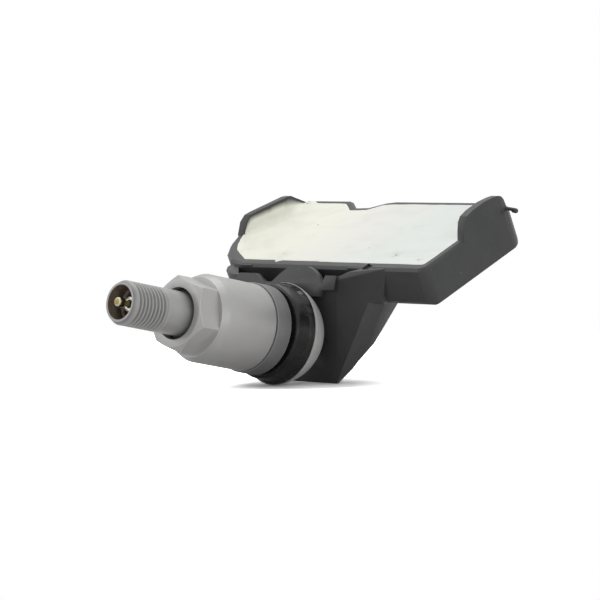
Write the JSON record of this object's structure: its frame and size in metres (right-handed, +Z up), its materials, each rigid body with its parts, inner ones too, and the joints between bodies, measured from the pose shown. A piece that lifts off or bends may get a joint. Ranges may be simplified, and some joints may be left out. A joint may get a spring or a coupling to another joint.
{
  "type": "tyre pressure sensor",
  "caption": "Clamp-in tyre pressure sensor: potted black plastic housing on an aluminium valve with a tilting ball foot, rubber grommet, loose ring, hexagonal collar nut and valve core.",
  "frame": {"origin": "bottom centre of the bounding box, on the floor that the sensor rests on", "axes": "+X along the housing's long side towards its right-hand raised end wall, -Y towards the valve's tip, +Z up"},
  "size_m": [0.0592, 0.0712, 0.0333],
  "materials": {
    "housing_black": "satin moulded black, glass-filled nylon",
    "potting_white": "smooth cast cream-white compound, faintly glossy",
    "board_green": "solder mask, satin",
    "battery_can": null,
    "tab_nickel": "thin nickel strip",
    "chip_black": "moulded epoxy, matte",
    "seal_silicone": "soft silicone, matte",
    "ferrite": "sintered ferrite, matte",
    "copper_wire": null,
    "capacitor_tan": "fired body with tinned ends",
    "stem_aluminium": "turned, nickel-plated, satin",
    "grommet_rubber": "moulded black rubber with a sheen",
    "ring_grey": "matte grey anodised",
    "nut_aluminium": "satin anodised",
    "screw_steel": "zinc-plated",
    "core_nickel": "nickel-plated brass",
    "core_brass": "bright turned brass",
    "gasket_black": "matte",
    "cup_rubber": "rubber face moulded on a brass cup",
    "spring_steel": "bright spring wire"
  },
  "bodies": {
    "housing": {"housing": "housing_black", "potting_fill": "potting_white", "circuit_board": "board_green", "battery_cell": "battery_can", "battery_tab_under": "tab_nickel", "battery_tab_over": "tab_nickel", "sensor_chip": "chip_black", "port_seal": "seal_silicone", "timing_crystal": "tab_nickel", "coil_core": "ferrite", "coil_winding": "copper_wire", "antenna_loop": "tab_nickel", "chip_capacitors": "capacitor_tan"},
    "valve": {"valve_stem": "stem_aluminium", "grommet": "grommet_rubber", "fixing_screw": "screw_steel", "screw_washer": "screw_steel", "core_plug": "core_nickel", "core_barrel": "core_brass", "core_gasket": "gasket_black", "core_spring": "spring_steel"},
    "ring": {"washer_ring": "ring_grey"},
    "nut": {"collar_nut": "nut_aluminium"},
    "core_pin": {"core_pin": "core_brass", "core_cup": "cup_rubber"}
  },
  "joints": [
    {"name": "stem_tilt", "type": "hinge", "parent": "housing", "child": "valve", "pos_m": [-0.001, 0.00053, 0.0094], "axis": [1, 0, 0], "range_deg": [-5, 5]},
    {"name": "nut_travel", "type": "slide", "parent": "valve", "child": "ring", "axis": [0, -0.9829, 0.184], "range_m": [-0.0007, 0.007]},
    {"name": "nut_spin", "type": "hinge", "parent": "ring", "child": "nut", "pos_m": [-0.001, -0.01421, 0.01216], "axis": [0, -0.9829, 0.184], "range_deg": [-252.2, 2520.2]},
    {"name": "core_pin_travel", "type": "slide", "parent": "valve", "child": "core_pin", "axis": [0, 0.9829, -0.184], "range_m": [0, 0.001], "stiffness_N_per_m": 600, "springref_m": -0.003, "deforming": ["core_spring"]}
  ],
  "couplings": [
    {"joint": "nut_spin", "follows": "nut_travel", "rad_per_m": 6283.2}
  ]
}
